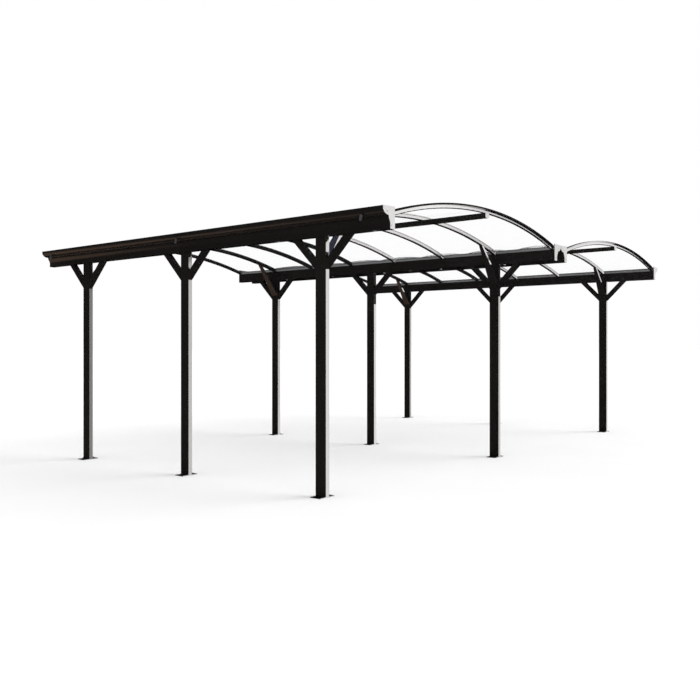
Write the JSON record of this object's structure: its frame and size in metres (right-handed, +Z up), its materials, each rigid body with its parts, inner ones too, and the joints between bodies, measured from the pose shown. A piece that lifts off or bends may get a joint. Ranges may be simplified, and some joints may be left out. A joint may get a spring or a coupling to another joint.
{
  "type": "double arched carport",
  "caption": "Open carport of arched bays side by side: dark metal posts with knee braces, moulded gutter beams, curved ribs and clear roof sheets.",
  "frame": {"origin": "bottom centre of the whole carport, on the plane that the foot plates stand on", "axes": "+X across the bays towards the right-hand row of posts, +Y along the roof to the rear, +Z up"},
  "size_m": [6.594, 4.98, 2.5752],
  "materials": {
    "frame_paint": "dark brown powder coat, satin",
    "end_cap": "dark brown moulded plastic, satin",
    "roof_sheet": "clear sheet, gloss",
    "eave_seal": "grey rubber, matt"
  },
  "bodies": {
    "root": {"post_left_front": "frame_paint", "post_left_middle": "frame_paint", "post_left_rear": "frame_paint", "post_middle_front": "frame_paint", "post_middle_middle": "frame_paint", "post_middle_rear": "frame_paint", "post_right_front": "frame_paint", "post_right_middle": "frame_paint", "post_right_rear": "frame_paint", "foot_plates_left": "frame_paint", "foot_plates_middle": "frame_paint", "foot_plates_right": "frame_paint", "gutter_left": "frame_paint", "gutter_centre_left": "frame_paint", "gutter_centre_right": "frame_paint", "gutter_right": "frame_paint", "gutter_caps_front": "end_cap", "gutter_caps_rear": "end_cap", "gutter_spacers": "frame_paint", "eave_seals_left": "eave_seal", "eave_seals_right": "eave_seal", "knee_braces_left": "frame_paint", "knee_braces_middle": "frame_paint", "knee_braces_right": "frame_paint", "arch_braces_left": "frame_paint", "arch_braces_middle": "frame_paint", "arch_braces_right": "frame_paint", "ridge_purlin_left": "frame_paint", "ridge_purlin_right": "frame_paint", "purlin_caps": "end_cap", "roof_ribs_left": "frame_paint", "roof_ribs_right": "frame_paint", "end_ribs_left": "frame_paint", "end_ribs_right": "frame_paint", "roof_sheets_left": "roof_sheet", "roof_sheets_right": "roof_sheet", "cover_strips_left": "frame_paint", "cover_strips_right": "frame_paint", "edge_trims_left": "frame_paint", "edge_trims_right": "frame_paint"}
  },
  "joints": []
}
